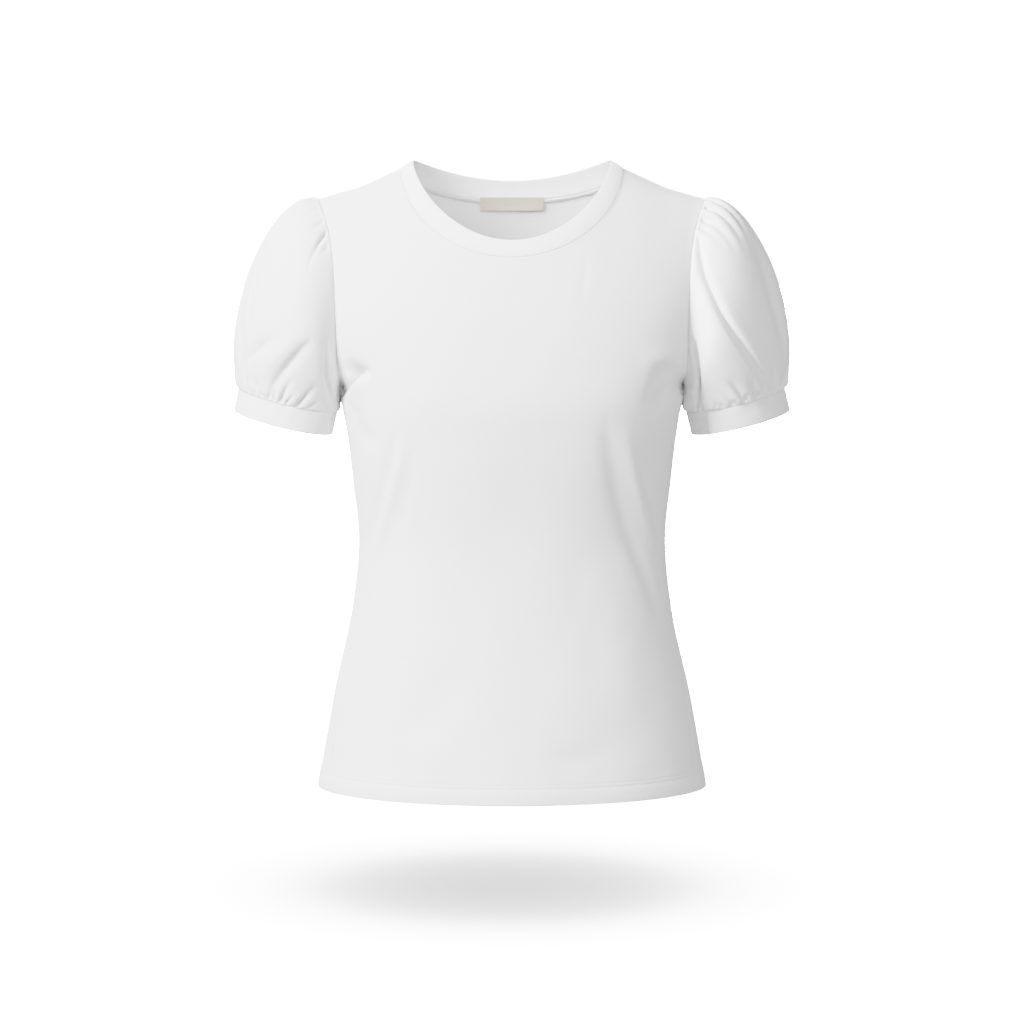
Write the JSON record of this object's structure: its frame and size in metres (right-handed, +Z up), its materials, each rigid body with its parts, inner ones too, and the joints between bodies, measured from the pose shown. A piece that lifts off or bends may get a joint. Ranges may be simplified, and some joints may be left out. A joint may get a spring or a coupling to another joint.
{
  "type": "puff-sleeve crew-neck t-shirt",
  "caption": "White fitted jersey t-shirt with a round rib neckband and short puff sleeves gathered into cuffs, hollow and filled out as if worn.",
  "frame": {"origin": "middle of the neck opening, level with the neckband's highest points on the shoulders, where the wearer carries the garment", "axes": "+X towards the wearer's left sleeve, +Y towards the back, +Z up along the body"},
  "size_m": [0.5334, 0.234, 0.6021],
  "materials": {
    "white_jersey": "fine single jersey, matt, off-white to white",
    "white_rib": "fine rib knit, matt, white",
    "label_weave": "flat woven label, beige, left bare"
  },
  "bodies": {
    "root": {"front_panel": "white_jersey", "back_panel": "white_jersey", "sleeve_left": "white_jersey", "sleeve_right": "white_jersey", "cuff_left": "white_jersey", "cuff_right": "white_jersey", "neckband": "white_rib", "neck_label": "label_weave"}
  },
  "joints": []
}
